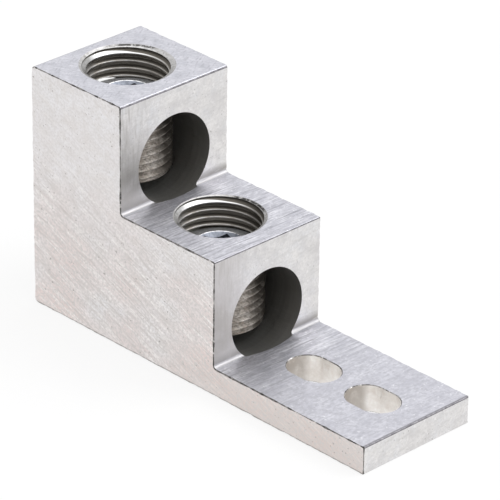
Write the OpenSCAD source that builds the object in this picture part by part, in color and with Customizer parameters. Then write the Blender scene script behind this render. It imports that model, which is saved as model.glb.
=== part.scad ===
// Panelboard lug for two conductors. A stepped aluminium block holds two conductor ports,
// one above the other, each with a set screw over it, and ends in a tongue with two bolt slots.
// Sizes are in millimetres. X runs from the back face towards the end of the tongue,
// Y across the lug and Z up. The origin is on the base, under the middle of the lug.

/* [Block] */
// Width of the lug between its sawn side faces
body_w = 27.8; // [24:0.1:34]
// Length of the tall upper block, from the back face to the upper step
upper_len = 25.2; // [22:0.1:36]
// Length of the lower block, from the upper step to the lower step
lower_len = 25.8; // [22:0.1:36]
// Radius of the two rounded corners of the back face
heel_r = 1; // [0.5:0.1:3]
// Radius of the fillets at the feet of the two steps
fillet_r = 0.7; // [0.4:0.1:2.5]
// Radius on the upper edge of the upper step
upper_edge_r = 0.5; // [0.1:0.05:1]
// Radius on the upper edge of the lower step
lower_edge_r = 0.3; // [0.1:0.05:1]

/* [Tongue] */
// Length of the tongue in front of the lower step
tongue_len = 39.75; // [36:0.05:60]
// Thickness of the tongue
tongue_t = 5.8; // [4.5:0.1:8]
// Radius on the two edges of the tongue's end
tip_r = 0.3; // [0.1:0.05:1.5]
// Distance between the centres of the two bolt slots
slot_pitch = 15.5; // [14:0.1:17]
// Distance from the tongue's end to the centre of the outer slot
slot_end = 11.45; // [8:0.05:14]
// Width of a slot, across the lug
slot_w = 8.3; // [5:0.1:10]
// Length of a slot, from end to end along the lug
slot_l = 11.4; // [10.5:0.1:13]

/* [Conductor ports] */
// Diameter of both conductor ports
port_d = 18.5; // [17.6:0.1:20]
// Metal left between the lower port and the base
base_web = 3.4; // [2.4:0.1:5]
// Metal left between the lower port and the top of the lower block
lower_cap = 6.35; // [5:0.05:10]
// Metal left between the upper port and the top of the upper block
upper_cap = 5.95; // [5:0.05:10]
// How far the floor of the upper port lies below the top of the lower block
port_drop = 1.7; // [0.5:0.1:2.5]
// How far the full width of a port runs on in front of its step
port_overrun = 0.8; // [0.2:0.1:1.5]
// Chamfer at the mouths of the ports in the back face
port_chamfer = 0.5; // [0.2:0.1:1.2]
// Included angle of the point that each drilled hole ends in
drill_angle = 135; // [118:1:150]

/* [Tapped holes] */
// How far the upper tapped hole sits back from the middle of its block
upper_screw_back = 0.6; // [0:0.1:1.2]
// How far the lower tapped hole sits back from the middle of its block
lower_screw_back = 0.1; // [0:0.1:1.2]
// Chamfer at the mouths of the tapped holes
mouth_chamfer = 0.35; // [0.1:0.05:1]
// Tapped depth left below a set screw that is run fully down
tap_spare = 0.25; // [0.1:0.05:0.6]

/* [Set screws] */
// Major diameter of the set screws' thread
thread_d = 17.46; // [14:0.02:17.5]
// Distance from one crest of the thread to the next
thread_pitch = 1.5875; // [1:0.0125:2]
// Radial gap between a set screw and its tapped hole
thread_gap = 0.05; // [0.02:0.01:0.1]
// Length of a set screw's barrel between the edges of its crowned ends
barrel_len = 14.7; // [12:0.1:15.5]
// Radius of the crown on both ends of a set screw
crown_r = 23.4; // [18:0.2:40]
// Chamfer between a crowned end and the crests of the thread
end_chamfer = 0.4; // [0.2:0.05:0.8]
// Depth of a set screw's upper edge below the top of its block
screw_sink = 6.7; // [5:0.1:7.4]
// Width of the hex socket across its flats
socket_af = 7.94; // [6:0.01:9.5]
// Depth of the hex socket below the set screw's upper edge
socket_depth = 6.5; // [4:0.1:8]
// How far the round countersink of the socket reaches past the hexagon's corners
socket_rim = 0.3; // [0.1:0.05:1]

/* [Hidden] */
$fn = 96;

// Overshoot of a cut past the face that it opens
cut = 1;

total_len = upper_len + lower_len + tongue_len;
lower_step_x = upper_len + lower_len;

port_r = port_d / 2;
lower_port_z = base_web + port_r;
lower_h = base_web + port_d + lower_cap;
upper_port_z = lower_h - port_drop + port_r;
upper_h = upper_port_z + port_r + upper_cap;

upper_screw_x = upper_len / 2 - upper_screw_back;
lower_screw_x = upper_len + lower_len / 2 - lower_screw_back;
upper_screw_z = upper_h - screw_sink;
lower_screw_z = lower_h - screw_sink;

// The thread has 60 degree flanks, crests an eighth of the pitch wide and roots a quarter
crest_w = thread_pitch / 8;
root_w = thread_pitch / 4;
thread_depth = (thread_pitch - crest_w - root_w) / 2 / tan(30);
thread_r = thread_d / 2;
root_r = thread_r - thread_depth;
hole_r = thread_r + thread_gap;
tap_depth = screw_sink + barrel_len + tap_spare;

// Radius at which a crowned end meets its chamfer, and the whole turns that the barrel holds
crown_edge_r = thread_r - end_chamfer;
turns = floor((barrel_len - 2 * end_chamfer) / thread_pitch);

// Radius at the corners of the hexagon, and of the countersink round them
corner_r = socket_af / 2 / cos(30);
countersink_r = corner_r + socket_rim;

// Length of the point of a drill of radius r
function point_len(r) = r / tan(drill_angle / 2);

// Height of the crown at radius r above the edge of the barrel
function crown_z(r) = sqrt(crown_r ^ 2 - r ^ 2) - sqrt(crown_r ^ 2 - crown_edge_r ^ 2);

// Places its children in the lug's own frame, which starts at the back face
module from_back_face()
    translate([-total_len / 2, 0, 0])
        children();

// The patch between a square corner at the origin and an arc of radius r that rounds it
module corner_patch(r)
    difference() {
        translate([-cut, -cut])
            square(r + cut);
        translate([r, r])
            circle(r);
    }

// The stepped side view, with the back face on the left and the base along the bottom
module side_profile()
    difference() {
        union() {
            square([total_len, tongue_t]);
            square([lower_step_x, lower_h]);
            square([upper_len, upper_h]);
            translate([upper_len, lower_h])
                corner_patch(fillet_r);
            translate([lower_step_x, tongue_t])
                corner_patch(fillet_r);
        }
        corner_patch(heel_r);
        translate([0, upper_h])
            mirror([0, 1])
                corner_patch(heel_r);
        for (edge = [
            [upper_len, upper_h, upper_edge_r],
            [lower_step_x, lower_h, lower_edge_r],
            [total_len, tongue_t, tip_r]
        ])
            translate([edge[0], edge[1]])
                rotate(180)
                    corner_patch(edge[2]);
        translate([total_len, 0])
            mirror([1, 0])
                corner_patch(tip_r);
    }

// A conductor port at height z, drilled from the back face to just past the step at length len
module port(z, len)
    translate([0, 0, z])
        rotate([0, 90, 0]) {
            translate([0, 0, -cut])
                cylinder(h = cut + len + port_overrun, r = port_r);
            translate([0, 0, len + port_overrun])
                cylinder(h = point_len(port_r), r1 = port_r, r2 = 0);
            translate([0, 0, -cut])
                cylinder(h = cut + port_chamfer, r1 = port_r + port_chamfer + cut, r2 = port_r);
        }

// A tapped hole at length x, cut to the thread's major diameter from the top of its block at
// height top through the port to the point of its drill on the port's floor
module tapped_hole(x, top)
    translate([x, 0, top]) {
        translate([0, 0, -tap_depth])
            cylinder(h = tap_depth + cut, r = hole_r);
        translate([0, 0, -tap_depth - point_len(root_r)])
            cylinder(h = point_len(root_r), r1 = 0, r2 = root_r);
        translate([0, 0, -mouth_chamfer])
            cylinder(h = mouth_chamfer + cut, r1 = hole_r, r2 = hole_r + mouth_chamfer + cut);
    }

// A bolt slot through the tongue, centred at length x
module bolt_slot(x)
    translate([x, 0, -cut])
        linear_extrude(tongue_t + 2 * cut) {
            square([slot_l - slot_w, slot_w], center = true);
            for (side = [-1, 1])
                translate([side * (slot_l - slot_w) / 2, 0])
                    circle(d = slot_w);
        }

// The outline of half a set screw, with the thread's grooves as rings one pitch apart. Both ends
// run on along their chamfers, past the crowns that trim them.
module screw_outline() {
    run = crown_z(0) + cut;
    spare = (barrel_len - 2 * end_chamfer - turns * thread_pitch) / 2;
    grooves = [
        for (i = [0:turns - 1])
            let (z = -barrel_len + end_chamfer + spare + (i + 0.5) * thread_pitch)
                for (corner = [
                    [thread_r, z - (thread_pitch - crest_w) / 2],
                    [root_r, z - root_w / 2],
                    [root_r, z + root_w / 2],
                    [thread_r, z + (thread_pitch - crest_w) / 2]
                ])
                    corner
    ];
    lower_end = [
        [0, -barrel_len - run],
        [crown_edge_r - run, -barrel_len - run],
        [thread_r, end_chamfer - barrel_len]
    ];
    upper_end = [
        [thread_r, -end_chamfer],
        [crown_edge_r - run, run],
        [0, run]
    ];
    polygon(concat(lower_end, grooves, upper_end));
}

// A set screw with its upper edge at height 0: a threaded barrel with both ends crowned and a
// countersunk hex socket that ends in a drill point
module set_screw() {
    crown_drop = sqrt(crown_r ^ 2 - crown_edge_r ^ 2);
    difference() {
        intersection() {
            rotate_extrude()
                screw_outline();
            translate([0, 0, -crown_drop])
                sphere(crown_r);
            translate([0, 0, crown_drop - barrel_len])
                sphere(crown_r);
        }
        translate([0, 0, -socket_depth])
            cylinder(h = socket_depth + crown_z(0) + cut, r = corner_r, $fn = 6);
        translate([0, 0, -socket_depth - point_len(socket_af / 2)])
            cylinder(h = point_len(socket_af / 2), r1 = 0, r2 = socket_af / 2);
        translate([0, 0, crown_z(countersink_r) - countersink_r])
            cylinder(h = countersink_r + cut, r1 = 0, r2 = countersink_r + cut);
    }
}

module lug_body()
    color("gainsboro")
        from_back_face()
            difference() {
                rotate([90, 0, 0])
                    linear_extrude(body_w, center = true)
                        side_profile();
                port(upper_port_z, upper_len);
                port(lower_port_z, lower_step_x);
                tapped_hole(upper_screw_x, upper_h);
                tapped_hole(lower_screw_x, lower_h);
                for (i = [0:1])
                    bolt_slot(total_len - slot_end - i * slot_pitch);
            }

module upper_set_screw()
    color("slategray")
        from_back_face()
            translate([upper_screw_x, 0, upper_screw_z])
                set_screw();

module lower_set_screw()
    color("slategray")
        from_back_face()
            translate([lower_screw_x, 0, lower_screw_z])
                set_screw();

lug_body();
upper_set_screw();
lower_set_screw();
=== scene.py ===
"""Finish, threads and studio for the panelboard lug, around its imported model. Lengths are in metres."""
import math
from collections import namedtuple

import bpy
import numpy as np
from mathutils import Matrix, Vector


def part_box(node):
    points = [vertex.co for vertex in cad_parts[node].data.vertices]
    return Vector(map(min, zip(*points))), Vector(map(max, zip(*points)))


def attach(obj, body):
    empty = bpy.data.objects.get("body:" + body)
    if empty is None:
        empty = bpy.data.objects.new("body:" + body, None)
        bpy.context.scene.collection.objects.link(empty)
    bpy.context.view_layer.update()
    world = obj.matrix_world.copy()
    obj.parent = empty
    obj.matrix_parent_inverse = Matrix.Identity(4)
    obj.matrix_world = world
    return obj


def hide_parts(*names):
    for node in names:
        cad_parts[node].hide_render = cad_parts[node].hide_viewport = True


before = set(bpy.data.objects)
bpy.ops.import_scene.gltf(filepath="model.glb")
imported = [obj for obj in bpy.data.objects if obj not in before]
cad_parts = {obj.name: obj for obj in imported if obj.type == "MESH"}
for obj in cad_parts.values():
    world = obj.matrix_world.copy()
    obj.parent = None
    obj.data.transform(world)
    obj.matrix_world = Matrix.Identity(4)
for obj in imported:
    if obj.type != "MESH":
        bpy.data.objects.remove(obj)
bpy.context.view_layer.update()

MM = 0.001
TURN = 2 * math.pi

# The block. Its outer size comes from the frame, and the rest repeats the sizes that its section has
# there
block_low, block_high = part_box("lug_body")
WIDTH = block_high.y - block_low.y
UPPER_TOP = block_high.z
BACK_X = block_low.x
FRONT_X = block_high.x
UPPER_STEP_X = BACK_X + 25.2 * MM
LOWER_STEP_X = UPPER_STEP_X + 25.8 * MM
LOWER_TOP = 28.25 * MM
TONGUE_TOP = 5.8 * MM
HEEL_R = 1 * MM
FILLET_R = 0.7 * MM
UPPER_EDGE_R = 0.5 * MM
LOWER_EDGE_R = 0.3 * MM
TIP_R = 0.3 * MM

# A rounded edge is painted dark, as shade, where its normal rises less than this, on the steps and on
# the tongue's end. A face is upright or level where its normal rises within a small share of 0 or 1.
EDGE_SHADE = math.sin(math.radians(38))
TIP_SHADE = math.sin(math.radians(80))
SQUARE_SHARE = 0.02

# The sawn edges are broken by hand, so the break wanders about its mean size, from point to point of the
# outline and smoothly over a few of them
EDGE_BREAK = 0.18 * MM
EDGE_WANDER = 0.05 * MM
WANDER_LIMITS = (-0.09 * MM, 0.1 * MM)
WANDER_REACH = 3
WANDER_SEED = 7
EDGE_STEP = 0.5 * MM

# The slots of the tongue
SLOT_PITCH = 15.5 * MM
SLOT_END = 11.45 * MM
SLOT_W = 8.3 * MM
SLOT_L = 11.4 * MM
SLOT_BREAK = 0.15 * MM

# The conductor ports
PORT_R = 9.25 * MM
UPPER_PORT_Z = 35.8 * MM
LOWER_PORT_Z = 12.65 * MM
PORT_OVERRUN = 0.8 * MM
PORT_CHAMFER = 0.5 * MM
DRILL_ANGLE = math.radians(135)

# The set screws
BARREL_LEN = 14.7 * MM
SCREW_SINK = 6.7 * MM
CROWN_R = 23.4 * MM
END_CHAMFER = 0.4 * MM
SOCKET_AF = 7.94 * MM
SOCKET_DEPTH = 6.5 * MM
SOCKET_RIM = 0.3 * MM
SOCKET_CORNER_R = 0.2 * MM
SOCKET_SLOPE = math.radians(45)
SOCKET_EDGE = 0.1 * MM
SOCKET_EDGE_SLOPE = math.radians(22)

# A set screw and its tapped hole share one helix, so that they mesh
PITCH = 1.5875 * MM
FLANK = math.radians(30)
THREAD_R = 8.73 * MM
SCREW_CREST_R = 8.7 * MM
SCREW_ROOT_R = 7.8 * MM
SCREW_CREST_W = 0.2 * MM
SCREW_CREST_ROUND = 0.09 * MM
SCREW_ROOT_ROUND = 0.25 * MM
HOLE_ROOT_R = 8.8 * MM
HOLE_CREST_R = 7.97 * MM
HOLE_ROOT_W = 0.38 * MM
HOLE_ROUND = 0.04 * MM
TAP_SPARE = 0.25 * MM
MOUTH_SLOPE = math.radians(30)

# How far the centre of a crown's arc lies behind the edge of the barrel, and its top beyond that edge
CROWN_EDGE_R = THREAD_R - END_CHAMFER
CROWN_DROP = math.sqrt(CROWN_R ** 2 - CROWN_EDGE_R ** 2)
CROWN_LIFT = CROWN_R - CROWN_DROP

# A tapped hole has a level, its place along the lug, the top of its block, the depth below its mouth of
# its first groove's middle at one bearing round it, the radius of its countersunk mouth, and the
# bearing, in degrees, of the side on which the mouth's ring is painted dark as shade
Hole = namedtuple("Hole", "level x top groove_depth mouth_r burred_side")
GROOVE_BEARING = math.radians(135.8)
upper_low, upper_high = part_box("upper_set_screw")
lower_low, lower_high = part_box("lower_set_screw")
HOLES = [
    Hole("upper", (upper_low.x + upper_high.x) / 2, UPPER_TOP, 0.69 * MM, 9.35 * MM, 131),
    Hole("lower", (lower_low.x + lower_high.x) / 2, LOWER_TOP, 0.44 * MM, 9 * MM, 93),
]

# Oil and painted shade cover the tapped thread, but for what is left bare: the lip over the first
# groove, and the flank below it, from the crest's edge up, which is bare this far on the side away
# from the shade and on the shaded side. The shaded side, at a bearing in degrees, is painted darker.
LIP = 0.2 * MM
FIRST_TURN = 0.7 * MM
BARE_W = 0.46 * MM
BARE_W_SHADED = 0.15 * MM
SHADED_SIDE = 45.8

# Width of the painted highlight along each crest, and place and width of a mouth's ring of painted shade
HIGHLIGHT_W = 0.08 * MM
SHADE_RING_INSET = 0.25 * MM
SHADE_RING_W = 0.28 * MM

# How far a cutter reaches past the face that it opens
SPARE = 1 * MM

# Facets round a hole, round a slot, along a crown, and along an arc of an outline or of a thread
AROUND = 144
SLOT_AROUND = 64
CROWN_STEPS = 24
ARC_STEPS = 6
THREAD_STEPS = 3

# Corners sharper than this stay sharp under smooth shading
SHARP_ANGLE = math.radians(28)


def rounded(corners, radii, closed=True, steps=ARC_STEPS):
    """A chain of straight lines with its corners rounded. Each corner gives way to an arc that touches
    both of its lines: its centre lies on the corner's bisector at radius / sin(half the corner's
    angle), and the arc turns from one touching point to the other. An open chain keeps its two end
    points as they are."""
    corners = np.array(corners, float)
    before, after = np.roll(corners, 1, 0), np.roll(corners, -1, 0)
    turned = slice(None) if closed else slice(1, -1)
    corner, before, after = corners[turned], before[turned], after[turned]
    radius = np.broadcast_to(np.array(radii, float), len(corner))[:, None]
    back, ahead = before - corner, after - corner
    back /= np.linalg.norm(back, axis=1, keepdims=True)
    ahead /= np.linalg.norm(ahead, axis=1, keepdims=True)
    half = np.arccos((back * ahead).sum(1, keepdims=True)) / 2
    bisector = back + ahead
    bisector /= np.linalg.norm(bisector, axis=1, keepdims=True)
    centre = corner + bisector * radius / np.sin(half)
    start = corner + back * radius / np.tan(half) - centre
    end = corner + ahead * radius / np.tan(half) - centre
    first = np.arctan2(start[:, 1], start[:, 0])
    sweep = np.arctan2(end[:, 1], end[:, 0]) - first
    sweep = (sweep + math.pi) % TURN - math.pi
    angle = first[:, None] + sweep[:, None] * np.linspace(0, 1, steps + 1)
    arcs = centre[:, None] + radius[:, None] * np.stack([np.cos(angle), np.sin(angle)], -1)
    arcs = arcs.reshape(-1, 2)
    return arcs if closed else np.vstack([corners[:1], arcs, corners[-1:]])


def subdivided(outline, spacing):
    """A closed outline with more points on its long lines, at every multiple of the spacing along it."""
    loop = np.vstack([outline, outline[:1]])
    along = np.concatenate([[0], np.cumsum(np.linalg.norm(np.diff(loop, axis=0), axis=1))])
    extra = np.arange(spacing, along[-1], spacing)
    nearest = np.abs(extra[:, None] - along).min(1)
    stops = np.sort(np.concatenate([along[:-1], extra[nearest > spacing / 4]]))
    return np.stack([np.interp(stops, along, loop[:, 0]), np.interp(stops, along, loop[:, 1])], 1)


def outward(outline):
    """Unit normals of a closed counterclockwise outline: each is the line between a point's neighbours,
    turned a quarter clockwise."""
    run = np.roll(outline, -1, 0) - np.roll(outline, 1, 0)
    run /= np.linalg.norm(run, axis=1, keepdims=True)
    return np.stack([run[:, 1], -run[:, 0]], 1)


def wander(count, size, reach, rng):
    """Seeded noise round a closed loop: random numbers smoothed by a raised-cosine window of that many
    points, and scaled to the size."""
    window = 1 + np.cos(np.linspace(-math.pi, math.pi, reach + 2))[1:-1]
    raw = rng.standard_normal(count)
    wrapped = np.concatenate([raw[-reach:], raw, raw[:reach]])
    smooth = np.convolve(wrapped, window, "same")[reach:-reach]
    return size * smooth / smooth.std()


def grid_quads(rows, columns, shift=0):
    """Quads between the rows of a grid whose last column joins its first, shift rows further on."""
    row, column = np.meshgrid(np.arange(rows - 1), np.arange(columns), indexing="ij")
    ahead_row = row + shift * (column == columns - 1)
    here, ahead = row * columns + column, ahead_row * columns + (column + 1) % columns
    return np.stack([here, ahead, ahead + columns, here + columns], -1)[ahead_row + 1 < rows]


def capped(grid, quads, low_loop, high_loop, low_end, high_end):
    """The points and faces of a grid that is closed by a fan from each loop to the height of its end on
    the axis."""
    low_hub = np.full(len(low_loop), len(grid))
    high_hub = np.full(len(high_loop), len(grid) + 1)
    low_fan = np.stack([low_hub, np.roll(low_loop, -1), low_loop], 1)
    high_fan = np.stack([high_hub, high_loop, np.roll(high_loop, -1)], 1)
    points = np.vstack([grid, [0, 0, low_end], [0, 0, high_end]])
    return points, quads.tolist() + low_fan.tolist() + high_fan.tolist()


def swept(outline, heights, insets):
    """A counterclockwise outline carried along its axis. The point of row j lies on the outline, moved
    inwards along the outline's normal by insets[j], at heights[j]. Both ends are closed by one flat
    face."""
    count = len(outline)
    insets = np.stack([np.broadcast_to(inset, count) for inset in insets])
    heights = np.stack([np.broadcast_to(height, count) for height in heights])
    flat = outline - outward(outline) * insets[..., None]
    points = np.concatenate([flat, heights[..., None]], -1).reshape(-1, 3)
    low = np.arange(count)[::-1]
    high = np.arange(count) + count * (len(heights) - 1)
    return points, grid_quads(len(heights), count).tolist() + [low.tolist(), high.tolist()]


def revolved(outline):
    """An outline of radius and height turned about the axis: the point of row j at angle a lies at
    (r cos a, r sin a, h). The outline starts and ends on the axis, where a fan closes it."""
    radius, height = outline[1:-1].T
    loop = np.arange(AROUND)
    angle = loop * TURN / AROUND
    x, y = radius[:, None] * np.cos(angle), radius[:, None] * np.sin(angle)
    grid = np.stack([x, y, np.broadcast_to(height[:, None], x.shape)], -1).reshape(-1, 3)
    quads = grid_quads(len(radius), AROUND)
    return capped(grid, quads, loop, loop + len(grid) - AROUND, outline[0, 1], outline[-1, 1])


def helical(crest_r, root_r, crest_w, low, high, phase, crest_round, root_round):
    """A right-hand thread as one closed solid. One pitch of its section is a ridge with 30 degree
    flanks and rounded corners, a chain of height and radius. The point j of turn k at angle a lies at
    the chain's radius and at the start + k pitches + the chain's height + pitch a / 2 pi, so the last
    column joins the first one turn further on. Both ends are closed by fans outside the limits low and
    high. The ridge's middle stands at height phase where the angle is 0."""
    edge = crest_w / 2
    foot = edge + (crest_r - root_r) * math.tan(FLANK)
    corners = [(-PITCH / 2, root_r), (-foot, root_r), (-edge, crest_r), (edge, crest_r), (foot, root_r),
               (PITCH / 2, root_r)]
    radii = [root_round, crest_round, crest_round, root_round]
    chain = rounded(corners, radii, closed=False, steps=THREAD_STEPS)[:-1]
    start = phase + PITCH * math.floor((low - phase) / PITCH - 1.5)
    turns = math.ceil((high - start) / PITCH) + 2
    height = (start + PITCH * np.arange(turns)[:, None] + chain[:, 0]).ravel()
    radius = np.tile(chain[:, 1], turns)
    loop = np.arange(AROUND)
    angle = loop * TURN / AROUND
    z = height[:, None] + PITCH * angle / TURN
    x, y = radius[:, None] * np.cos(angle), radius[:, None] * np.sin(angle)
    grid = np.stack([x, y, z], -1).reshape(-1, 3)
    shift, last = len(chain), len(grid) - AROUND
    quads = grid_quads(len(height), AROUND, shift)
    seam = np.arange(shift, 0, -1)
    low_loop = np.concatenate([loop, seam * AROUND])
    high_loop = np.concatenate([last + loop, last + (seam - shift) * AROUND - 1])
    return capped(grid, quads, low_loop, high_loop, z.min() - PITCH, z.max() + PITCH)


def solid(name, surface, axis="z", at=(0, 0, 0), finishes=()):
    """An object from a surface of points and faces. Its local third axis is laid along the axis named."""
    points, faces = surface
    if axis == "x":
        points = points[:, [2, 0, 1]]
    if axis == "y":
        points = points[:, [0, 2, 1]] * (1, -1, 1)
    mesh = bpy.data.meshes.new(name)
    mesh.from_pydata((points + np.array(at)).tolist(), [], faces)
    mesh.validate()
    for finish in finishes:
        mesh.materials.append(finish)
    made = bpy.data.objects.new(name, mesh)
    bpy.context.scene.collection.objects.link(made)
    return made


def shaped(body, tool, operation="DIFFERENCE"):
    """Cuts the tool out of a body, or keeps what both hold. The tool's faces bring their own finish."""
    step = body.modifiers.new("shape", "BOOLEAN")
    step.operation = operation
    step.solver = "MANIFOLD"
    step.material_mode = "TRANSFER"
    step.object = tool
    view = bpy.context.evaluated_depsgraph_get()
    mesh = bpy.data.meshes.new_from_object(body.evaluated_get(view))
    body.modifiers.clear()
    old = body.data
    body.data = mesh
    mesh.name = body.name
    bpy.data.meshes.remove(old)
    bpy.data.objects.remove(tool)


def point_len(radius):
    """Length of a drill's point of that radius."""
    return radius / math.tan(DRILL_ANGLE / 2)


def thread_phase(hole):
    """Height at which the helix of a hole's first groove, and of its screw's ridge, crosses the bearing
    0."""
    return hole.top - hole.groove_depth - PITCH * GROOVE_BEARING / TURN


def direction(bearing, elevation=0):
    """The unit vector at a bearing, from +X towards +Y, and an elevation, both in degrees."""
    a, e = math.radians(bearing), math.radians(elevation)
    return Vector((math.cos(e) * math.cos(a), math.cos(e) * math.sin(a), math.sin(e)))


def linear(hex_colour):
    """An sRGB hex colour such as #a0a0a0 as linear red, green, blue and alpha."""
    srgb = np.array([int(hex_colour[i:i + 2], 16) for i in (1, 3, 5)]) / 255
    rgb = np.where(srgb <= 0.04045, srgb / 12.92, ((srgb + 0.055) / 1.055) ** 2.4)
    return (*rgb.tolist(), 1.0)


def add(tree, kind, inputs=None, **settings):
    """Adds a node, sets its properties, and gives each named input a value or another node's output."""
    made = tree.nodes.new(kind)
    for name, value in settings.items():
        setattr(made, name, value)
    for name, value in (inputs or {}).items():
        if isinstance(value, bpy.types.NodeSocket):
            tree.links.new(value, made.inputs[name])
        else:
            made.inputs[name].default_value = value
    return made


def bare_metal(name):
    """An empty material with its node tree, and the place of each point on the surface in metres."""
    material = bpy.data.materials.new(name)
    material.use_nodes = True
    tree = material.node_tree
    tree.nodes.clear()
    return material, tree, add(tree, "ShaderNodeTexCoord").outputs["Object"]


def marks(tree, place, size, low, high, most=1.0, turn=(0, 0, 0), detail=2.0, shift=0.0):
    """Marks of the size given in millimetres along each turned axis: noise whose values from low to
    high rise from 0 to the most, which may be a field of its own. A shift keeps one set from lying over
    another. Marks under half a millimetre blur away in the render, so the finest are drawn that
    coarse."""
    laid = add(tree, "ShaderNodeMapping", {
        "Vector": place, "Rotation": turn, "Scale": [MM * side for side in size]}, vector_type="TEXTURE")
    moved = add(tree, "ShaderNodeVectorMath", {0: laid.outputs[0], 1: (shift, shift, shift)})
    noise = add(tree, "ShaderNodeTexNoise", {
        "Vector": moved.outputs[0], "Scale": 1.0, "Detail": detail, "Roughness": 0.6})
    rise = add(tree, "ShaderNodeMapRange", {
        "Value": noise.outputs[0], "From Min": low, "From Max": high, "To Max": most})
    return rise.outputs[0]


def about_axis(tree, place, x, named_side):
    """Distance from the upright axis at length x, the bearing from it in radians, and the cosine of the
    angle between that bearing and the side named in degrees."""
    arm = add(tree, "ShaderNodeVectorMath", {0: place, 1: (x, 0, 0)}, operation="SUBTRACT").outputs[0]
    level = add(tree, "ShaderNodeVectorMath", {0: arm, 1: (1, 1, 0)}, operation="MULTIPLY").outputs[0]
    radius = add(tree, "ShaderNodeVectorMath", {0: level}, operation="LENGTH").outputs["Value"]
    away = add(tree, "ShaderNodeVectorMath", {0: level}, operation="NORMALIZE").outputs[0]
    side = add(tree, "ShaderNodeSeparateXYZ", {0: level}).outputs
    bearing = add(tree, "ShaderNodeMath", {0: side["Y"], 1: side["X"]}, operation="ARCTAN2").outputs[0]
    facing = add(tree, "ShaderNodeVectorMath", {
        0: away, 1: direction(named_side)}, operation="DOT_PRODUCT").outputs["Value"]
    return radius, bearing, facing


def layered(tree, ground, *layers):
    """A ground colour covered in turn by each layer, which is a pair of amount and colour."""
    colour = linear(ground)
    for amount, over in layers:
        mixed = add(tree, "ShaderNodeMix", {0: amount, 6: colour, 7: linear(over)}, data_type="RGBA")
        colour = mixed.outputs[2]
    return colour


def finished(tree, colour, height, depth, wear, smooth, rough, tint="#ffffff"):
    """Ends a bare metal with its colour and the relief of a field of heights, that deep in millimetres.
    The roughness goes from smooth to rough with the field of wear, and the tint is the metal's colour
    edge on."""
    relief = add(tree, "ShaderNodeBump", {"Height": height, "Distance": depth * MM})
    roughness = add(tree, "ShaderNodeMapRange", {"Value": wear, "To Min": smooth, "To Max": rough})
    metal = add(tree, "ShaderNodeBsdfPrincipled", {
        "Base Color": colour, "Metallic": 1.0, "Roughness": roughness.outputs[0],
        "Specular Tint": linear(tint), "Normal": relief.outputs[0]})
    add(tree, "ShaderNodeOutputMaterial", {"Surface": metal.outputs[0]})


def sawn_aluminium():
    """Extrusion sawn to width and tumbled: pale and dull, with fine slanting saw lines and a warm cast
    low down that is a painted reflection from below, browner along the tongue, with small pits and a
    dark line along the foot that is a painted contact shadow."""
    material, tree, place = bare_metal("sawn_aluminium")
    side = add(tree, "ShaderNodeSeparateXYZ", {0: place}).outputs
    height = side["Z"]
    low_down = add(tree, "ShaderNodeMapRange", {
        "Value": height, "From Min": 36 * MM, "From Max": 20 * MM, "To Min": 0.25}).outputs[0]
    # The warm cast low down is a painted reflection from below
    warm_reflection_low = add(tree, "ShaderNodeMapRange", {
        "Value": height, "From Min": 34 * MM, "From Max": 8 * MM, "To Min": 0.1}).outputs[0]
    # A dark line along the foot is a painted contact shadow
    at_foot = add(tree, "ShaderNodeMapRange", {
        "Value": height, "From Min": 0.45 * MM, "From Max": 0.15 * MM}).outputs[0]
    near_tongue = add(tree, "ShaderNodeMapRange", {
        "Value": side["X"], "From Min": -12 * MM, "From Max": 12 * MM, "To Max": 0.75}).outputs[0]
    on_tongue = add(tree, "ShaderNodeMapRange", {
        "Value": height, "From Min": 10 * MM, "From Max": 4 * MM, "To Max": near_tongue}).outputs[0]
    busy = add(tree, "ShaderNodeMapRange", {
        "Value": height, "From Min": 34 * MM, "From Max": 20 * MM, "To Min": 0.5,
        "To Max": 0.9}).outputs[0]
    warm = marks(tree, place, (15, 15, 11), 0.34, 0.6, warm_reflection_low, shift=2)
    brown = marks(tree, place, (9, 9, 9), 0.1, 0.4, on_tongue, shift=16)
    clouds = marks(tree, place, (2.6, 2.6, 2.2), 0.34, 0.66, 0.9, detail=5)
    dark_lines = marks(tree, place, (4.5, 4, 0.32), 0.5, 0.74, low_down, SAW_TURN, 4)
    light_lines = marks(tree, place, (6, 4, 0.36), 0.5, 0.7, low_down, SAW_TURN, 3, 9)
    grain = marks(tree, place, (0.5, 0.5, 0.5), 0.4, 0.66, busy, shift=3)
    pits = marks(tree, place, (0.6, 0.6, 0.6), 0.67, 0.74, 0.8, shift=6)
    painted_shade = marks(tree, place, (1.2, 1.2, 1.2), 0.2, 0.5, at_foot, shift=12)
    colour = layered(tree, "#f0eff1", (clouds, "#e6e3e2"), (warm, "#eaddda"), (dark_lines, "#c9c3bf"),
                     (light_lines, "#fbf8f6"), (brown, "#dcd1cc"), (grain, "#d7d3d1"), (pits, "#938d89"),
                     (painted_shade, "#8f8b88"))
    finished(tree, colour, light_lines, 0.02, light_lines, 0.5, 0.38)
    return material


def broken_aluminium_edge():
    """The edge of the saw cut, broken by hand: a thin dark line of painted shade, patchy, with bare
    spots."""
    material, tree, place = bare_metal("broken_aluminium_edge")
    # A thin dark line of painted shade, with bare spots
    painted_shade = marks(tree, place, (1.0, 1.0, 1.0), 0.36, 0.6, detail=4)
    spots = marks(tree, place, (0.9, 0.9, 0.9), 0.62, 0.7, shift=5)
    colour = layered(tree, "#9a9896", (painted_shade, "#4a4846"), (spots, "#cfccc9"))
    finished(tree, colour, painted_shade, 0.02, painted_shade, 0.45, 0.55, "#9a9896")
    return material


def shaded_aluminium_edge():
    """The upper edges of the steps and the edges of the tongue's end, left by the die: where they turn
    down, an even, darker line of painted shade."""
    material, tree, place = bare_metal("shaded_aluminium_edge")
    # The whole line is painted shade, patchy
    painted_shade = marks(tree, place, (1.0, 1.0, 1.0), 0.36, 0.64, detail=4)
    colour = layered(tree, "#939196", (painted_shade, "#727075"))
    finished(tree, colour, painted_shade, 0.02, painted_shade, 0.5, 0.6)
    return material


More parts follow.
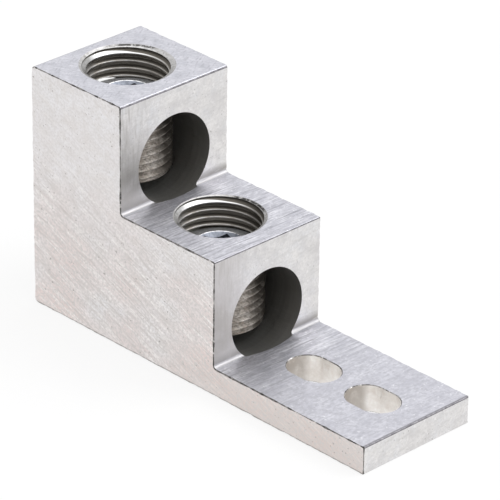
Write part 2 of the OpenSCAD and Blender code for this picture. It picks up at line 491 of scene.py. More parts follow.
def extruded_aluminium_corner():
    """The rounded corners of the back face, painted a little darker than the flats beside them as
    shade."""
    material, tree, place = bare_metal("extruded_aluminium_corner")
    lines = marks(tree, place, (0.5, 6, 0.5), 0.4, 0.7, 0.8, detail=3)
    colour = layered(tree, "#b0b0b5", (lines, "#9a9a9f"))
    finished(tree, colour, lines, 0.01, lines, 0.5, 0.6, "#d4d4d4")
    return material


def extruded_aluminium_fillet():
    """The fillets at the feet of the steps, which catch the light in a soft band, painted a little darker
    than the step faces as shade in the crease.
    """
    material, tree, place = bare_metal("extruded_aluminium_fillet")
    lines = marks(tree, place, (0.5, 5, 0.5), 0.4, 0.7, 0.8, detail=3)
    colour = layered(tree, "#c2c1c3", (lines, "#b0afb2"))
    finished(tree, colour, lines, 0.01, lines, 0.5, 0.6)
    return material


def milled_aluminium():
    """The upper block's top: milled and tumbled to an even grey whose cool tint is a painted reflection
    of bluish light from above, with soft clouds and short, faint scratches."""
    material, tree, place = bare_metal("milled_aluminium")
    clouds = marks(tree, place, (3, 3, 3), 0.34, 0.66, detail=5)
    grain = marks(tree, place, (0.5, 0.6, 0.5), 0.4, 0.66, 0.7, shift=3)
    dark_lines = marks(tree, place, (0.45, 2.6, 1), 0.54, 0.72, 0.6, (0, 0, 0.5), shift=5)
    light_lines = marks(tree, place, (0.4, 2.2, 1), 0.54, 0.7, 0.6, (0, 0, -0.9), shift=7)
    colour = layered(tree, "#c4c5cd", (clouds, "#d4d4db"), (grain, "#bdbdc4"), (dark_lines, "#a2a2a9"),
                     (light_lines, "#e8e8ee"))
    finished(tree, colour, grain, 0.015, clouds, 0.42, 0.5)
    return material


def die_lined_aluminium():
    """The lower block's top and the tongue, straight from the die: grey with a cool tint that is a
    painted reflection of bluish light from above, and bright and dark lines across the lug, close near
    the steps and fading towards the tongue's end, where a band along the last edge is painted dark as
    shade."""
    material, tree, place = bare_metal("die_lined_aluminium")
    along = add(tree, "ShaderNodeSeparateXYZ", {0: place}).outputs["X"]
    near_steps = add(tree, "ShaderNodeMapRange", {
        "Value": along, "From Min": LOWER_STEP_X + 5 * MM, "From Max": LOWER_STEP_X + 18 * MM,
        "To Min": 0.7, "To Max": 0.15}).outputs[0]
    # A band along the tongue's last edge is painted dark as shade
    at_end = add(tree, "ShaderNodeMapRange", {
        "Value": along, "From Min": FRONT_X - 0.6 * MM, "From Max": FRONT_X - 0.35 * MM}).outputs[0]
    blotches = marks(tree, place, (1.5, 1.5, 1.5), 0.1, 0.4, at_end, shift=17)
    clouds = marks(tree, place, (2.4, 3.2, 2.4), 0.34, 0.66, detail=6)
    grain = marks(tree, place, (0.5, 0.8, 0.5), 0.4, 0.66, 0.9, shift=3)
    dark_lines = marks(tree, place, (0.42, 8, 4), 0.5, 0.72, near_steps, DIE_TURN, 3)
    light_lines = marks(tree, place, (0.36, 6, 4), 0.52, 0.7, near_steps, DIE_TURN, 3, 9)
    specks = marks(tree, place, (0.5, 0.6, 0.5), 0.65, 0.73, 0.7, shift=12)
    colour = layered(tree, "#c0c0c8", (clouds, "#d4d4db"), (grain, "#b9b9c0"), (dark_lines, "#87878e"),
                     (light_lines, "#f2f2f6"), (specks, "#f0f0f3"), (blotches, "#88878c"))
    finished(tree, colour, light_lines, 0.025, dark_lines, 0.52, 0.62)
    return material


def extruded_aluminium():
    """The step faces, the back and the base, as they leave the die: a pale grey, warm as a painted
    reflection from below, with soft clouds and specks. The step faces are painted darker as shade low
    down towards one sawn side, with darker streaks and patches there, and painted shade lies along
    their feet."""
    material, tree, place = bare_metal("extruded_aluminium")
    side = add(tree, "ShaderNodeSeparateXYZ", {0: place}).outputs
    foot = add(tree, "ShaderNodeMapRange", {
        "Value": side["X"], "From Min": UPPER_STEP_X + 1 * MM, "From Max": LOWER_STEP_X - 1 * MM,
        "To Min": LOWER_TOP, "To Max": TONGUE_TOP}).outputs[0]
    rise = add(tree, "ShaderNodeMath", {0: side["Z"], 1: foot}, operation="SUBTRACT").outputs[0]
    off_base = add(tree, "ShaderNodeMapRange", {
        "Value": side["Z"], "From Min": 0.5 * MM, "From Max": 2 * MM}).outputs[0]
    past_back = add(tree, "ShaderNodeMapRange", {
        "Value": side["X"], "From Min": BACK_X + 2 * MM, "From Max": UPPER_STEP_X - 1 * MM,
        "To Max": off_base}).outputs[0]
    on_steps = add(tree, "ShaderNodeMapRange", {
        "Value": side["X"], "From Min": LOWER_STEP_X + 1 * MM, "From Max": LOWER_STEP_X + 3 * MM,
        "To Min": past_back, "To Max": 0.0}).outputs[0]
    one_side = add(tree, "ShaderNodeMapRange", {
        "Value": side["Y"], "From Min": -4 * MM, "From Max": -12 * MM, "To Max": on_steps}).outputs[0]
    low_down = add(tree, "ShaderNodeMapRange", {
        "Value": rise, "From Min": 18 * MM, "From Max": 5 * MM, "To Max": one_side}).outputs[0]
    lower_side = add(tree, "ShaderNodeMapRange", {
        "Value": side["X"], "From Min": UPPER_STEP_X + 1 * MM, "From Max": LOWER_STEP_X - 1 * MM,
        "To Max": one_side}).outputs[0]
    near_foot = add(tree, "ShaderNodeMapRange", {
        "Value": rise, "From Min": 2.6 * MM, "From Max": 1.1 * MM, "To Max": on_steps}).outputs[0]
    # Painted shade: low on the step faces towards one sawn side, in streaks and patches, and at their
    # feet
    painted_shade = marks(tree, place, (5, 5, 4), 0.1, 0.5, low_down, detail=4, shift=8)
    foot_painted_shade = marks(tree, place, (3, 3, 1), 0.1, 0.4, near_foot, detail=3, shift=14)
    streaks = marks(tree, place, (4, 0.6, 5), 0.45, 0.7, one_side, detail=3, shift=15)
    shade_clouds = marks(tree, place, (6, 6, 6), 0.0, 0.5, lower_side, detail=3, shift=18)
    slow = marks(tree, place, (7, 7, 7), 0.38, 0.62)
    clouds = marks(tree, place, (2.4, 2.4, 2.4), 0.34, 0.66, detail=5)
    lines = marks(tree, place, (4, 5, 0.6), 0.5, 0.72, 0.4, (0.12, 0, 0), 3)
    grain = marks(tree, place, (0.5, 0.5, 0.5), 0.4, 0.66, 0.5, shift=3)
    bright = marks(tree, place, (0.9, 0.9, 0.9), 0.6, 0.72, 0.6, shift=11)
    pits = marks(tree, place, (0.5, 0.5, 0.5), 0.67, 0.75, 0.7, shift=6)
    colour = layered(tree, "#d7d5d5", (slow, "#e4e4e6"), (clouds, "#e9e7e6"), (lines, "#c6c4c2"),
                     (grain, "#d0cecd"), (bright, "#f3f1f1"), (pits, "#9c9997"), (shade_clouds, "#cfcccb"),
                     (streaks, "#c4c1be"), (painted_shade, "#bab7b3"), (foot_painted_shade, "#aba8a5"))
    finished(tree, colour, grain, 0.015, clouds, 0.5, 0.42)
    return material


def drilled_aluminium():
    """The ports' drilled walls: even and smooth, painted a darker grey than the faces as shade in the
    bore, with faint rings from the drill.
    """
    material, tree, place = bare_metal("drilled_aluminium")
    rings = marks(tree, place, (0.7, 30, 30), 0.4, 0.65, 0.6)
    clouds = marks(tree, place, (3, 3, 3), 0.35, 0.65, 0.6)
    colour = layered(tree, "#aaa9a6", (clouds, "#b1afab"), (rings, "#9e9d99"))
    finished(tree, colour, rings, 0.02, clouds, 0.5, 0.45)
    return material


def tapped_aluminium(hole):
    """Cut thread under a film of tapping oil: brown, darkest in its grooves with oil and painted shade,
    and less dark in the deeper roots. A painted highlight runs along the crests' upper edges and fades
    towards the shaded side. The first flank below the mouth is left bare metal, less wide on the shaded
    side, and streaked with painted shade on the side away from it. The highlight line follows the helix:
    a point's height less pitch a / 2 pi, at bearing a, repeats at every pitch."""
    material, tree, place = bare_metal(hole.level + "_tapped_aluminium")
    radius, bearing, toward_shade = about_axis(tree, place, hole.x, SHADED_SIDE)
    height = add(tree, "ShaderNodeSeparateXYZ", {0: place}).outputs["Z"]
    depth = add(tree, "ShaderNodeMath", {0: hole.top, 1: height}, operation="SUBTRACT").outputs[0]
    crest_w = PITCH - HOLE_ROOT_W - 2 * (HOLE_ROOT_R - HOLE_CREST_R) * math.tan(FLANK)
    crest_edge = thread_phase(hole) + PITCH / 2 + crest_w / 2
    first_end = hole.groove_depth + FIRST_TURN
    along = add(tree, "ShaderNodeMath", {
        0: bearing, 1: -PITCH / TURN, 2: height}, operation="MULTIPLY_ADD").outputs[0]
    above = add(tree, "ShaderNodeMath", {0: along, 1: crest_edge}, operation="SUBTRACT").outputs[0]
    off_edge = add(tree, "ShaderNodeMath", {0: above, 1: PITCH / 2}, operation="PINGPONG").outputs[0]
    first_turn = add(tree, "ShaderNodeMapRange", {
        "Value": depth, "From Min": first_end + 0.2 * MM, "From Max": first_end}).outputs[0]
    # The first flank is left bare of the painted shade, less wide towards the shaded side
    bare_width = add(tree, "ShaderNodeMapRange", {
        "Value": toward_shade, "From Min": -0.55, "From Max": 0.15, "To Min": BARE_W,
        "To Max": BARE_W_SHADED}).outputs[0]
    inside = add(tree, "ShaderNodeMath", {0: bare_width, 1: off_edge}, operation="SUBTRACT").outputs[0]
    bare_flank = add(tree, "ShaderNodeMapRange", {
        "Value": inside, "From Max": 0.06 * MM, "To Max": first_turn}).outputs[0]
    lip = add(tree, "ShaderNodeMapRange", {
        "Value": depth, "From Min": LIP + 0.1 * MM, "From Max": LIP}).outputs[0]
    left_bare = add(tree, "ShaderNodeMath", {0: bare_flank, 1: lip}, operation="MAXIMUM").outputs[0]
    # Painted shade, in streaks, on the side away from the shaded one
    away_side = add(tree, "ShaderNodeMapRange", {
        "Value": toward_shade, "From Min": -0.72, "From Max": -0.95, "To Max": 0.8}).outputs[0]
    # The painted highlight along the crests fades towards the shaded side
    strength = add(tree, "ShaderNodeMapRange", {
        "Value": toward_shade, "From Min": -0.5, "From Max": 0.8, "To Min": 1.0, "To Max": 0.5}).outputs[0]
    edge = add(tree, "ShaderNodeMapRange", {
        "Value": off_edge, "From Min": HIGHLIGHT_W, "From Max": HIGHLIGHT_W / 3, "To Max": strength}).outputs[0]
    # The grooves are dark with oil and painted shade, less dark in the deeper roots
    groove = add(tree, "ShaderNodeMapRange", {
        "Value": radius, "From Min": HOLE_CREST_R + 0.1 * MM, "From Max": HOLE_CREST_R + 0.3 * MM,
        "To Max": 0.9}).outputs[0]
    deep = add(tree, "ShaderNodeMapRange", {
        "Value": depth, "From Min": first_end, "From Max": first_end + 0.2 * MM}).outputs[0]
    root = add(tree, "ShaderNodeMapRange", {
        "Value": radius, "From Min": HOLE_ROOT_R - 0.2 * MM, "From Max": HOLE_ROOT_R - 0.05 * MM,
        "To Max": deep}).outputs[0]
    smears = marks(tree, place, (3, 3, 0.6), 0.35, 0.7, detail=3)
    crest_highlight = marks(tree, place, (1.5, 1.5, 1.5), 0.3, 0.6, edge, detail=3, shift=4)
    streaks = marks(tree, place, (1.2, 1.2, 0.9), 0.2, 0.5, away_side, detail=3, shift=7)
    colour = layered(tree, "#b3ada5", (smears, "#8f8a83"), (groove, "#56524c"), (root, "#8c877f"),
                     (crest_highlight, "#d6d8da"), (left_bare, "#d6d6d6"), (streaks, "#8b8a88"))
    finished(tree, colour, smears, 0.01, left_bare, 0.45, 0.28)
    return material


def countersunk_aluminium(hole):
    """The turned chamfer of a tapped hole's mouth: pale grey with fine rings, and with a broken ring of
    painted shade on one side."""
    material, tree, place = bare_metal(hole.level + "_countersunk_aluminium")
    radius, _, facing = about_axis(tree, place, hole.x, hole.burred_side)
    on_shade_side = add(tree, "ShaderNodeMapRange", {
        "Value": facing, "From Min": 0.8, "From Max": 0.92}).outputs[0]
    past = add(tree, "ShaderNodeMath", {
        0: radius, 1: hole.mouth_r - SHADE_RING_INSET}, operation="SUBTRACT").outputs[0]
    off_ring = add(tree, "ShaderNodeMath", {0: past}, operation="ABSOLUTE").outputs[0]
    on_shade_ring = add(tree, "ShaderNodeMapRange", {
        "Value": off_ring, "From Min": SHADE_RING_W, "From Max": SHADE_RING_W / 2, "To Max": on_shade_side}).outputs[0]
    # A broken ring on one side is painted dark as shade
    rim_marks = marks(tree, place, (0.9, 0.9, 0.6), 0.3, 0.55, on_shade_ring, detail=3, shift=2)
    rings = marks(tree, place, (0.9, 0.9, 0.4), 0.4, 0.62, 0.9, detail=3)
    specks = marks(tree, place, (0.6, 0.6, 0.6), 0.58, 0.7, 0.8, shift=6)
    colour = layered(tree, "#c9c8c8", (rings, "#b4b3b2"), (specks, "#8a8785"), (rim_marks, "#4c4b4a"))
    finished(tree, colour, rings, 0.03, rings, 0.42, 0.5, "#d0d0d0")
    return material


def punched_aluminium():
    """The slots' punched walls: warm and pale, with soft clouds, bands from the punch and ends nearer
    the block painted duller as shade. The two slots look alike, because the length along the lug is
    wrapped at every slot's pitch."""
    material, tree, place = bare_metal("punched_aluminium")
    length = add(tree, "ShaderNodeSeparateXYZ", {0: place}).outputs["X"]
    slot_start = FRONT_X - SLOT_END - SLOT_L / 2
    wrap = slot_start - 1 * MM
    along = add(tree, "ShaderNodeMath", {
        0: length, 1: wrap, 2: wrap + SLOT_PITCH}, operation="WRAP").outputs[0]
    # The ends nearer the block are painted darker as shade
    near_end = add(tree, "ShaderNodeMapRange", {
        "Value": along, "From Min": slot_start + 1.6 * MM, "From Max": slot_start + 0.6 * MM}).outputs[0]
    shade_clouds = marks(tree, place, (3, 3, 3), 0.1, 0.5, near_end, detail=3, shift=7)
    clouds = marks(tree, place, (3.2, 3.2, 3.2), 0.38, 0.58, detail=3)
    bands = marks(tree, place, (1.6, 1.6, 5), 0.45, 0.65, 0.5, detail=3, shift=4)
    grain = marks(tree, place, (0.5, 0.5, 0.5), 0.35, 0.7, 0.8, shift=3)
    colour = layered(tree, "#ebe6e1", (clouds, "#fffefc"), (bands, "#ece6e0"), (grain, "#f4f0ec"),
                     (shade_clouds, "#c6c0ba"))
    finished(tree, colour, grain, 0.03, clouds, 0.55, 0.5)
    return material


def punched_aluminium_rim():
    """The eased rim of a slot, crumbled by the punch, with dark nicks and bright burrs."""
    material, tree, place = bare_metal("punched_aluminium_rim")
    nicks = marks(tree, place, (0.9, 0.9, 0.9), 0.42, 0.58, detail=3)
    rim_marks = marks(tree, place, (0.8, 0.8, 0.8), 0.58, 0.68, shift=5)
    colour = layered(tree, "#b5b3b1", (nicks, "#5c5a58"), (rim_marks, "#f0eeec"))
    finished(tree, colour, nicks, 0.04, nicks, 0.5, 0.6, "#c8c8c8")
    return material


def threaded_aluminium(hole):
    """A set screw's cut thread, dull and brown, its grooves darker with dried grease and painted shade,
    painted darker as shade on one side and round its upper end, and rubbed lighter in places."""
    material, tree, place = bare_metal(hole.level + "_threaded_aluminium")
    radius, _, facing = about_axis(tree, place, hole.x, SHADED_SIDE)
    # The grooves are darker with dried grease and painted shade
    grooves = add(tree, "ShaderNodeMapRange", {
        "Value": radius, "From Min": SCREW_CREST_R - 0.1 * MM, "From Max": SCREW_ROOT_R + 0.1 * MM,
        "To Max": 0.3}).outputs[0]
    # Painted shade in patches on one side and round the upper end
    one_side = add(tree, "ShaderNodeMapRange", {
        "Value": facing, "From Min": 0.55, "From Max": 0.88}).outputs[0]
    height = add(tree, "ShaderNodeSeparateXYZ", {0: place}).outputs["Z"]
    last_turn = hole.top - SCREW_SINK - PITCH
    at_top = add(tree, "ShaderNodeMapRange", {
        "Value": height, "From Min": last_turn - 0.8 * MM, "From Max": last_turn,
        "To Max": 0.9}).outputs[0]
    shade_mask = add(tree, "ShaderNodeMath", {0: one_side, 1: at_top}, operation="MAXIMUM").outputs[0]
    shade_patches = marks(tree, place, (2.5, 2.5, 2), 0.1, 0.5, shade_mask, detail=3, shift=5)
    grease = marks(tree, place, (2.2, 2.2, 1.4), 0.36, 0.62, detail=4)
    grain = marks(tree, place, (0.5, 0.5, 0.5), 0.42, 0.64, 0.8, shift=3)
    blotches = marks(tree, place, (1.4, 1.4, 0.5), 0.56, 0.7, 0.7, detail=3, shift=8)
    colour = layered(tree, "#dad5cf", (grooves, "#aea9a3"), (grease, "#bab1a8"), (grain, "#8c8781"),
                     (blotches, "#eeebe6"), (shade_patches, "#5f5a54"))
    finished(tree, colour, grain, 0.03, grease, 0.6, 0.75)
    return material


def turned_aluminium():
    """A set screw's turned ends: grey and cloudy under old grease, with a fine grain."""
    material, tree, place = bare_metal("turned_aluminium")
    clouds = marks(tree, place, (1.8, 1.8, 1.8), 0.34, 0.66, detail=4)
    grain = marks(tree, place, (0.5, 0.5, 0.5), 0.4, 0.68, 0.7, shift=3)
    colour = layered(tree, "#b8b9bb", (clouds, "#cccdcf"), (grain, "#a0a1a4"))
    finished(tree, colour, grain, 0.02, clouds, 0.62, 0.52)
    return material


def broached_aluminium():
    """The hex socket and its countersink: a cool grey, darker than the screw's end as painted shade in
    the socket, with lines down its walls.
    """
    material, tree, place = bare_metal("broached_aluminium")
    lines = marks(tree, place, (0.6, 0.6, 4), 0.4, 0.66, 0.8, detail=3)
    colour = layered(tree, "#8d919b", (lines, "#6f737c"))
    finished(tree, colour, lines, 0.03, lines, 0.42, 0.52)
    return material


def rubbed_and_highlighted_aluminium():
    """The eased edge of the socket, which the key rubs bright, painted brighter still as a highlight,
    with nicks.
    """
    material, tree, place = bare_metal("rubbed_and_highlighted_aluminium")
    nicks = marks(tree, place, (0.8, 0.8, 0.8), 0.5, 0.64, 0.9, detail=3)
    colour = layered(tree, "#eeeef0", (nicks, "#85868a"))
    finished(tree, colour, nicks, 0.02, nicks, 0.3, 0.4)
    return material


# The saw lines fall towards the tongue, and the die lines cross the lug a little askew
SAW_TURN = (0, math.radians(22), 0)
DIE_TURN = (0, 0, math.radians(-2))

sawn_face = sawn_aluminium()
sawn_edge = broken_aluminium_edge()
top_face = milled_aluminium()
lined_face = die_lined_aluminium()
front_face = extruded_aluminium()
back_corner = extruded_aluminium_corner()
step_edge = shaded_aluminium_edge()
step_foot = extruded_aluminium_fillet()
port_wall = drilled_aluminium()
slot_wall = punched_aluminium()
slot_rim = punched_aluminium_rim()
screw_end = turned_aluminium()
socket_wall = broached_aluminium()
socket_edge = rubbed_and_highlighted_aluminium()


def lug_block():
    """The stepped section carried across the lug. Each face takes its finish from how far its normal
    rises and where it lies: 0 is sawn, 1 the broken edges, a dark line of painted shade, 2 the upper
    top, 3 the lower top and the tongue, 4 the steps, the back and the base, 5 the rounded corners of
    the back, painted darker as shade, 6 the edges of the steps and of the tongue's end, painted dark as
    shade where they turn down, and 7 the fillets at the steps' feet, painted a little darker as shade."""
    corners = [(BACK_X, 0), (FRONT_X, 0), (FRONT_X, TONGUE_TOP), (LOWER_STEP_X, TONGUE_TOP),
               (LOWER_STEP_X, LOWER_TOP), (UPPER_STEP_X, LOWER_TOP), (UPPER_STEP_X, UPPER_TOP),
               (BACK_X, UPPER_TOP)]
    radii = [HEEL_R, TIP_R, TIP_R, FILLET_R, LOWER_EDGE_R, FILLET_R, UPPER_EDGE_R, HEEL_R]
    outline = subdivided(rounded(corners, radii), EDGE_STEP)
    count = len(outline)
    rng = np.random.default_rng(WANDER_SEED)
    low_break, high_break = [
        EDGE_BREAK + np.clip(wander(count, EDGE_WANDER, WANDER_REACH, rng), *WANDER_LIMITS)
        for side in range(2)]
    heights = [-WIDTH / 2, low_break - WIDTH / 2, WIDTH / 2 - high_break, WIDTH / 2]
    finishes = [sawn_face, sawn_edge, top_face, lined_face, front_face, back_corner, step_edge, step_foot]
    section = swept(outline, heights, [low_break, 0, 0, high_break])
    block = solid("lug_body_finish", section, axis="y", finishes=finishes)
    ahead = np.roll(outline, -1, 0)
    middle = (outline + ahead) / 2
    run = ahead - outline
    rise = -run[:, 0] / np.linalg.norm(run, axis=1)
    foot = np.hypot(*(middle - (UPPER_STEP_X, LOWER_TOP)).T) < 2 * FILLET_R
    foot |= np.hypot(*(middle - (LOWER_STEP_X, TONGUE_TOP)).T) < 2 * FILLET_R
    square = (np.abs(rise) < SQUARE_SHARE) | (np.abs(rise) > 1 - SQUARE_SHARE)
    shaded = np.where(middle[:, 0] > LOWER_STEP_X + FILLET_R, TIP_SHADE, EDGE_SHADE)
    band = np.full(count, 4)
    band[(rise > EDGE_SHADE) & (middle[:, 1] > LOWER_TOP)] = 2
    band[(rise > EDGE_SHADE) & (middle[:, 1] <= LOWER_TOP)] = 3
    band[(rise > 0) & (rise < shaded) & ~square] = 6
    band[(middle[:, 0] < BACK_X + HEEL_R) & ~square] = 5
    band[foot & ~square] = 7
    index = np.concatenate([np.full(count, 1), band, np.full(count, 1), [0, 0]])
    block.data.polygons.foreach_set("material_index", index.astype(np.int32))
    return block


def port_cutter(height, step_x):
    """A conductor port: a bore with a chamfer at the back face and the drill's point past the step."""
    full = step_x + PORT_OVERRUN
    flare = PORT_R + PORT_CHAMFER
    outline = np.array([(0, BACK_X - SPARE), (flare + SPARE, BACK_X - SPARE),
                        (PORT_R, BACK_X + PORT_CHAMFER), (PORT_R, full), (0, full + point_len(PORT_R))])
    return solid("port_cutter", revolved(outline), axis="x", at=(0, 0, height), finishes=[port_wall])


def tapped_cutter(hole):
    """The cut thread of a tapped hole, from above its mouth to the point of its drill."""
    finish = tapped_aluminium(hole)
    bottom = hole.top - SCREW_SINK - BARREL_LEN - TAP_SPARE
    above, outside = hole.top + SPARE, HOLE_ROOT_R + SPARE
    helix = helical(HOLE_ROOT_R, HOLE_CREST_R, HOLE_ROOT_W, bottom, above, thread_phase(hole), HOLE_ROUND,
                    HOLE_ROUND)
    thread = solid("thread_cutter", helix, at=(hole.x, 0, 0), finishes=[finish])
    limits = np.array([(0, bottom - point_len(HOLE_CREST_R)), (HOLE_CREST_R, bottom), (outside, bottom),
                       (outside, above), (0, above)])
    shaped(thread, solid("limits", revolved(limits), at=(hole.x, 0, 0), finishes=[finish]), "INTERSECT")
    return thread


def cone_cutter(name, x, rim_r, rim_z, slope, finish):
    """A countersink about the upright axis at length x: a cone that is rim_r wide at rim_z and rises
    outwards by the slope given as an angle."""
    rise = math.tan(slope)
    outline = np.array([(0, rim_z - rim_r * rise), (rim_r + SPARE, rim_z + SPARE * rise),
                        (0, rim_z + SPARE * rise)])
    return solid(name, revolved(outline), at=(x, 0, 0), finishes=[finish])


def slot_cutter(x):
    """A bolt slot: two half circles held apart by straight sides, with its rims eased above and below."""
    angle = (np.arange(SLOT_AROUND) + 0.5) * TURN / SLOT_AROUND
    radius = SLOT_W / 2
    run = (SLOT_L - SLOT_W) / 2
    outline = np.stack([np.sign(np.cos(angle)) * run + radius * np.cos(angle), radius * np.sin(angle)], 1)
    heights = [-SPARE, 0, SLOT_BREAK, TONGUE_TOP - SLOT_BREAK, TONGUE_TOP, TONGUE_TOP + SPARE]
    insets = [-SLOT_BREAK - SPARE, -SLOT_BREAK, 0, 0, -SLOT_BREAK, -SLOT_BREAK - SPARE]
    cutter = solid("slot_cutter", swept(outline, heights, insets), at=(x, 0, 0),
                   finishes=[slot_wall, slot_rim])
    index = np.concatenate([np.repeat([1, 1, 0, 1, 1], SLOT_AROUND), [0, 0]])
    cutter.data.polygons.foreach_set("material_index", index.astype(np.int32))
    return cutter


def lug_body():
    """The block with its ports, tapped holes and slots."""
    block = lug_block()
    shaped(block, port_cutter(UPPER_PORT_Z, UPPER_STEP_X))
    shaped(block, port_cutter(LOWER_PORT_Z, LOWER_STEP_X))
    for hole in HOLES:
        shaped(block, tapped_cutter(hole))
        mouth_wall = countersunk_aluminium(hole)
        shaped(block, cone_cutter("mouth", hole.x, hole.mouth_r, hole.top, MOUTH_SLOPE, mouth_wall))
    for i in range(2):
        shaped(block, slot_cutter(FRONT_X - SLOT_END - i * SLOT_PITCH))
    return block


def screw_envelope(x, foot, edge, finish):
    """What a set screw's thread is trimmed to: a barrel between two crowned ends, arcs about centres on
    the axis, with a chamfer at both. The crowns are turned, and the barrel and its chamfers are
    threaded."""
    swing = np.linspace(0, math.asin(CROWN_EDGE_R / CROWN_R), CROWN_STEPS)
    crown = np.stack([CROWN_R * np.sin(swing), CROWN_R * np.cos(swing) - CROWN_DROP], 1)
    barrel = [(THREAD_R, foot + END_CHAMFER), (THREAD_R, edge - END_CHAMFER)]
    outline = np.vstack([crown * (1, -1) + (0, foot), barrel, crown[::-1] + (0, edge)])
    envelope = solid("envelope", revolved(outline), at=(x, 0, 0), finishes=[screw_end, finish])
    bands = len(outline) - 3
    on_barrel = np.abs(np.arange(bands) - bands // 2) < 2
    index = np.concatenate([np.repeat(on_barrel, AROUND), np.zeros(2 * AROUND)])
    envelope.data.polygons.foreach_set("material_index", index.astype(np.int32))
    return envelope


def socket_cutters(x, edge):
    """The hexagonal socket of a set screw, the drill's point that it ends in, the countersink that it
    opens in, and the eased edge round that."""
    hexagon_r = SOCKET_AF / math.sqrt(3)
    turn = np.arange(6) * TURN / 6
    hexagon = rounded(hexagon_r * np.stack([np.cos(turn), np.sin(turn)], 1), SOCKET_CORNER_R)
    base = edge - SOCKET_DEPTH
    walls = swept(hexagon, [base, edge + CROWN_LIFT + SPARE], [0, 0])
    yield solid("socket", walls, at=(x, 0, 0), finishes=[socket_wall])
    point = np.array([(0, base - point_len(SOCKET_AF / 2)), (SOCKET_AF / 2, base),
                      (SOCKET_AF / 2, base + SPARE), (0, base + SPARE)])
    yield solid("socket_point", revolved(point), at=(x, 0, 0), finishes=[socket_wall])
    rim_r = hexagon_r + SOCKET_RIM
    rim_z = edge + math.sqrt(CROWN_R ** 2 - rim_r ** 2) - CROWN_DROP
    yield cone_cutter("countersink", x, rim_r, rim_z, SOCKET_SLOPE, socket_wall)
    yield cone_cutter("socket_edge", x, rim_r + SOCKET_EDGE, rim_z, SOCKET_EDGE_SLOPE, socket_edge)


def set_screw(hole):
    """A set screw: a thread trimmed to its envelope, less its socket."""
    edge = hole.top - SCREW_SINK
    foot = edge - BARREL_LEN
    finish = threaded_aluminium(hole)
    helix = helical(SCREW_CREST_R, SCREW_ROOT_R, SCREW_CREST_W, foot - CROWN_LIFT, edge + CROWN_LIFT,
                    thread_phase(hole), SCREW_CREST_ROUND, SCREW_ROOT_ROUND)
    screw = solid(hole.level + "_set_screw_finish", helix, at=(hole.x, 0, 0), finishes=[finish])
    shaped(screw, screw_envelope(hole.x, foot, edge, finish), "INTERSECT")
    for cutter in socket_cutters(hole.x, edge):
        shaped(screw, cutter)
    return screw


def finish_normals(piece):
    """Smooth shading that keeps sharp corners sharp and flat faces flat."""
    mesh = piece.data
    mesh.shade_smooth()
    mesh.set_sharp_from_angle(angle=SHARP_ANGLE)
    weighted = piece.modifiers.new("face_weighted_normals", "WEIGHTED_NORMAL")
    weighted.keep_sharp = True
    weighted.weight = 100
    weighted.thresh = 0.0


body = lug_body()
finish_normals(body)
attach(body, "lug")
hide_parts("lug_body")

for hole in HOLES:
    screw = set_screw(hole)
    finish_normals(screw)
    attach(screw, hole.level + "_screw")
    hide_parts(hole.level + "_set_screw")

# Studio
scene = bpy.context.scene
scene.view_settings.view_transform = "Standard"

# The camera stands far off and looks at a point in the lug's middle plane, turned a little about its
# own axis
AIM = Vector((0.7909, 0, 24.1402)) * MM
AIM_DISTANCE = 751.05 * MM
CAMERA_BEARING = -44.214
CAMERA_ELEVATION = 27.728
ROLL = math.radians(0.711)
LENS_MM = 286.9
SENSOR_MM = 36

FLOOR_REACH = 3
PAPER_GLOW = 0.8
SKY_STRENGTH = 0.7


def studio_camera():
    """A long lens. Back is the direction in which it stands from the lug, right is level but for the
    roll, and above is square to both."""
    back = direction(CAMERA_BEARING, CAMERA_ELEVATION)
    across = Vector((0, 0, 1)).cross(back).normalized()
    up = back.cross(across)
    right = across * math.cos(ROLL) + up * math.sin(ROLL)
    above = up * math.cos(ROLL) - across * math.sin(ROLL)
    camera = bpy.data.objects.new("camera", bpy.data.cameras.new("camera"))
    camera.data.lens = LENS_MM
    camera.data.sensor_width = SENSOR_MM
    camera.data.clip_start = 0.05
    camera.data.clip_end = 20
    camera.matrix_world = Matrix((right, above, back)).transposed().to_4x4()
    camera.location = AIM + back * AIM_DISTANCE
    scene.collection.objects.link(camera)
    scene.camera = camera


def seen_directly(tree):
    """1 where the camera, a reflection or a refraction looks at a surface, and 0 where light falls on
    it."""
    rays = add(tree, "ShaderNodeLightPath").outputs
    seen = add(tree, "ShaderNodeMath", {
        0: rays["Is Camera Ray"], 1: rays["Is Glossy Ray"]}, operation="MAXIMUM").outputs[0]
    return add(tree, "ShaderNodeMath", {
        0: seen, 1: rays["Is Transmission Ray"]}, operation="MAXIMUM").outputs[0]


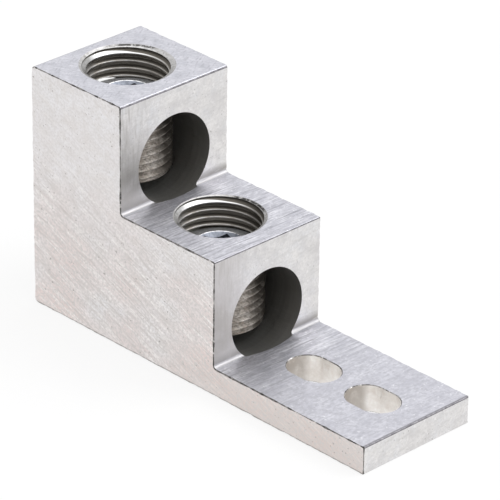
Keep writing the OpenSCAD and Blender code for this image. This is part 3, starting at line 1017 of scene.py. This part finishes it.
def white_paper():
    """White paper that also glows where it is looked at, so that it stays white and keeps a soft
    shadow."""
    paper = bpy.data.materials.new("white_paper")
    paper.use_nodes = True
    tree = paper.node_tree
    tree.nodes.clear()
    lit = add(tree, "ShaderNodeBsdfDiffuse", {"Color": linear("#fafafa")}).outputs[0]
    glow = add(tree, "ShaderNodeEmission", {"Color": linear("#ffffff")}).outputs[0]
    share = add(tree, "ShaderNodeMath", {0: seen_directly(tree), 1: PAPER_GLOW}, operation="MULTIPLY")
    both = add(tree, "ShaderNodeMixShader", {0: share.outputs[0], 1: lit, 2: glow})
    add(tree, "ShaderNodeOutputMaterial", {"Surface": both.outputs[0]})
    return paper


def paper_floor():
    """A flat sheet of white paper under the lug, far wider than the view."""
    mesh = bpy.data.meshes.new("floor")
    corners = np.array([(-1, -1, 0), (1, -1, 0), (1, 1, 0), (-1, 1, 0)]) * FLOOR_REACH
    mesh.from_pydata(corners.tolist(), [], [(0, 1, 2, 3)])
    mesh.materials.append(white_paper())
    floor = bpy.data.objects.new("floor", mesh)
    scene.collection.objects.link(floor)
    return floor


def white_surroundings():
    """An even soft light from all round, which is white where it is looked at."""
    world = bpy.data.worlds.new("studio")
    world.use_nodes = True
    tree = world.node_tree
    tree.nodes.clear()
    soft = add(tree, "ShaderNodeBackground", {"Color": linear("#ffffff"), "Strength": SKY_STRENGTH})
    white = add(tree, "ShaderNodeBackground", {"Color": linear("#ffffff")})
    both = add(tree, "ShaderNodeMixShader", {
        0: seen_directly(tree), 1: soft.outputs[0], 2: white.outputs[0]})
    add(tree, "ShaderNodeOutputWorld", {"Surface": both.outputs[0]})
    return world


def softbox(name, bearing, elevation, distance, size, power):
    """A square soft lamp of that many watts that faces the lug from a bearing and an elevation in
    degrees."""
    light = bpy.data.lights.new(name, "AREA")
    light.shape = "SQUARE"
    light.size = size
    light.energy = power
    lamp = bpy.data.objects.new(name, light)
    way = direction(bearing, elevation)
    lamp.location = way * distance
    lamp.rotation_mode = "QUATERNION"
    lamp.rotation_quaternion = way.to_track_quat("Z", "Y")
    scene.collection.objects.link(lamp)


studio_camera()
paper_floor()
scene.world = white_surroundings()
softbox("overhead", bearing=60, elevation=80, distance=1.0, size=1.2, power=4.0)
softbox("side", bearing=55, elevation=42, distance=1.0, size=0.7, power=3.0)
